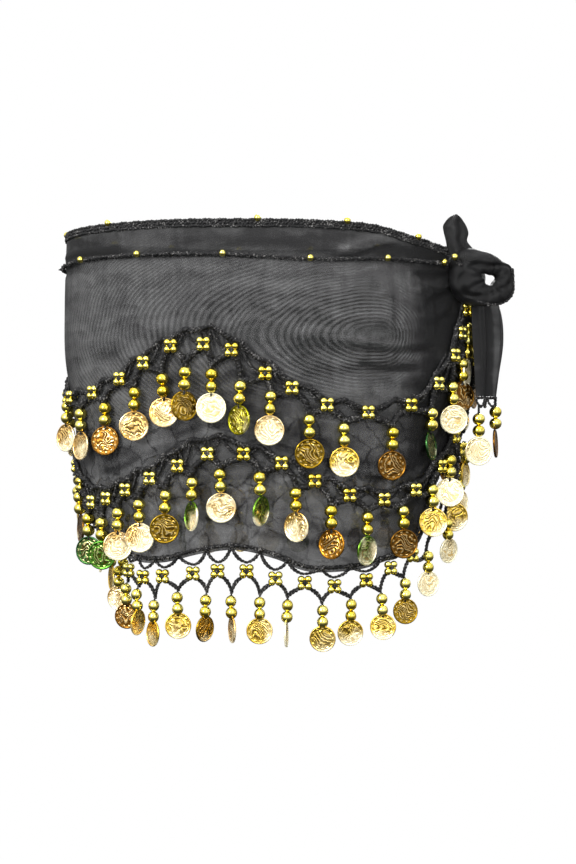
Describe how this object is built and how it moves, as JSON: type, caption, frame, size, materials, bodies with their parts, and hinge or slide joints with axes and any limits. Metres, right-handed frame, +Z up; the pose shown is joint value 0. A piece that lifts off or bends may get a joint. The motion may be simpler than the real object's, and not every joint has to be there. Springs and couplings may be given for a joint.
{
  "type": "belly dance hip scarf",
  "caption": "Sheer black hip scarf worn as a hollow ring and tied at the left hip, with wavy crocheted nets that carry gilt beads and coins.",
  "frame": {"origin": "on the axis of the wearer's hips, at the level of the knot and of the second crocheted chain", "axes": "+Z up, -Y to the wearer's front, +X to the wearer's left, where the scarf is tied"},
  "size_m": [0.3612, 0.2299, 0.3367],
  "materials": {
    "black_chiffon": "sheer matt woven chiffon with a faint sheen",
    "black_crochet_thread": "matt twisted crochet thread",
    "gilt_metal": "bright gilt, stamped and beaded"
  },
  "bodies": {
    "root": {"cloth_back": "black_chiffon", "cloth_back_end": "black_chiffon", "cloth_front": "black_chiffon", "cloth_front_end": "black_chiffon", "cloth_right_side": "black_chiffon", "hem_coin_fringe_back": "gilt_metal", "hem_coin_fringe_front": "gilt_metal", "hem_coin_fringe_right_side": "gilt_metal", "hem_net_back": "black_crochet_thread", "hem_net_front": "black_crochet_thread", "hem_net_right_side": "black_crochet_thread", "row_1_coin_fringe_back": "gilt_metal", "row_1_coin_fringe_front": "gilt_metal", "row_1_coin_fringe_right_side": "gilt_metal", "row_1_net_back": "black_crochet_thread", "row_1_net_front": "black_crochet_thread", "row_1_net_right_side": "black_crochet_thread", "row_2_coin_fringe_back": "gilt_metal", "row_2_coin_fringe_front": "gilt_metal", "row_2_coin_fringe_right_side": "gilt_metal", "row_2_net_back": "black_crochet_thread", "row_2_net_front": "black_crochet_thread", "row_2_net_right_side": "black_crochet_thread", "tie_ear": "black_chiffon", "tie_knot": "black_chiffon", "tie_loop": "black_chiffon", "tie_tail": "black_chiffon", "tie_tail_coin_fringe": "gilt_metal", "tie_tail_edging": "black_crochet_thread", "top_edging_back": "black_crochet_thread", "top_edging_front": "black_crochet_thread", "top_edging_right_side": "black_crochet_thread", "waist_chain_back": "black_crochet_thread", "waist_chain_front": "black_crochet_thread", "waist_chain_right_side": "black_crochet_thread"}
  },
  "joints": []
}
